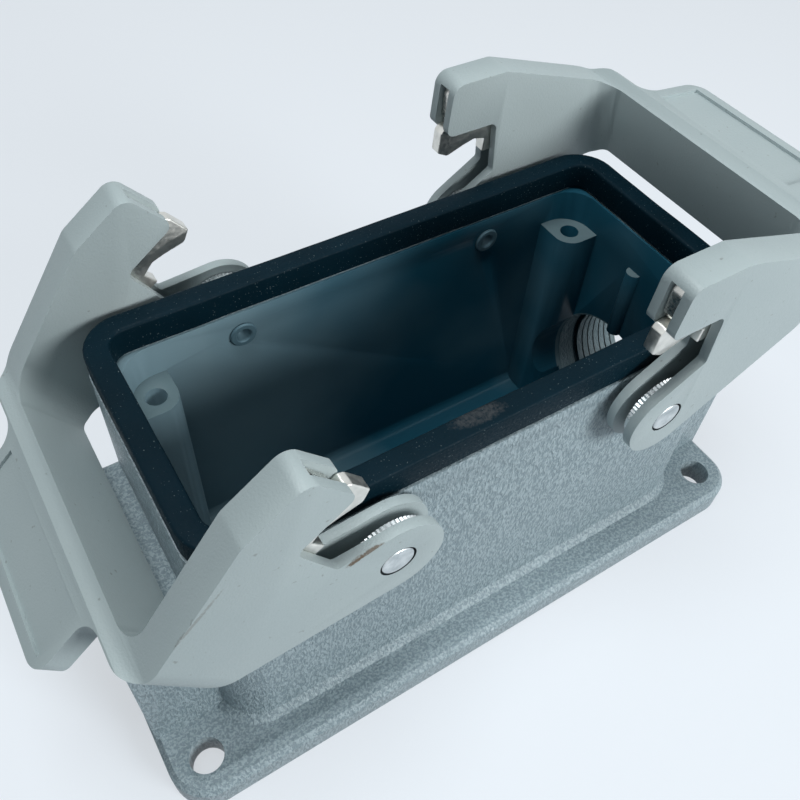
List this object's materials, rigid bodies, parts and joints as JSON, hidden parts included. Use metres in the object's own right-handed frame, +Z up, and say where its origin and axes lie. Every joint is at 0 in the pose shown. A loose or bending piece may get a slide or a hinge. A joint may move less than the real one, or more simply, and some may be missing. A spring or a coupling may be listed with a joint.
{
  "type": "rectangular connector base housing",
  "caption": "Surface-mount metal base housing of a heavy-duty rectangular connector, with rubber gasket, threaded cable entry and two swinging U-shaped locking levers.",
  "frame": {"origin": "centre of the flange's underside", "axes": "+X along the housing towards the threaded cable entry and the closed lever, +Y to the rear, +Z up out of the tub"},
  "size_m": [0.1296, 0.057, 0.0754],
  "materials": {
    "housing_paint": "fine wrinkle powder coat, satin",
    "gasket_rubber": "matte",
    "lever_plastic": "fine sand texture, matte",
    "plate_steel": "zinc plated, satin",
    "spring_steel": "plain, satin",
    "pin_steel": "zinc plated, satin",
    "disc_steel": "zinc plated, satin"
  },
  "bodies": {
    "base": {"housing": "housing_paint", "gasket": "gasket_rubber", "pivot_pin_left_front": "pin_steel", "spacer_disc_left_front": "disc_steel", "pivot_pin_left_rear": "pin_steel", "spacer_disc_left_rear": "disc_steel", "pivot_pin_right_front": "pin_steel", "spacer_disc_right_front": "disc_steel", "pivot_pin_right_rear": "pin_steel", "spacer_disc_right_rear": "disc_steel"},
    "left_lever": {"lever_left": "lever_plastic", "lock_plate_left_front": "plate_steel", "leaf_spring_left_front": "spring_steel", "lock_plate_left_rear": "plate_steel", "leaf_spring_left_rear": "spring_steel"},
    "right_lever": {"lever_right": "lever_plastic", "lock_plate_right_front": "plate_steel", "leaf_spring_right_front": "spring_steel", "lock_plate_right_rear": "plate_steel", "leaf_spring_right_rear": "spring_steel"}
  },
  "joints": [
    {"name": "left_lever_hinge", "type": "hinge", "parent": "base", "child": "left_lever", "pos_m": [-0.02295, 0, 0.0476], "axis": [0, 1, 0], "range_deg": [-8, 36.5]},
    {"name": "right_lever_hinge", "type": "hinge", "parent": "base", "child": "right_lever", "pos_m": [0.02295, 0, 0.0476], "axis": [0, 1, 0], "range_deg": [0, 44.5]}
  ]
}
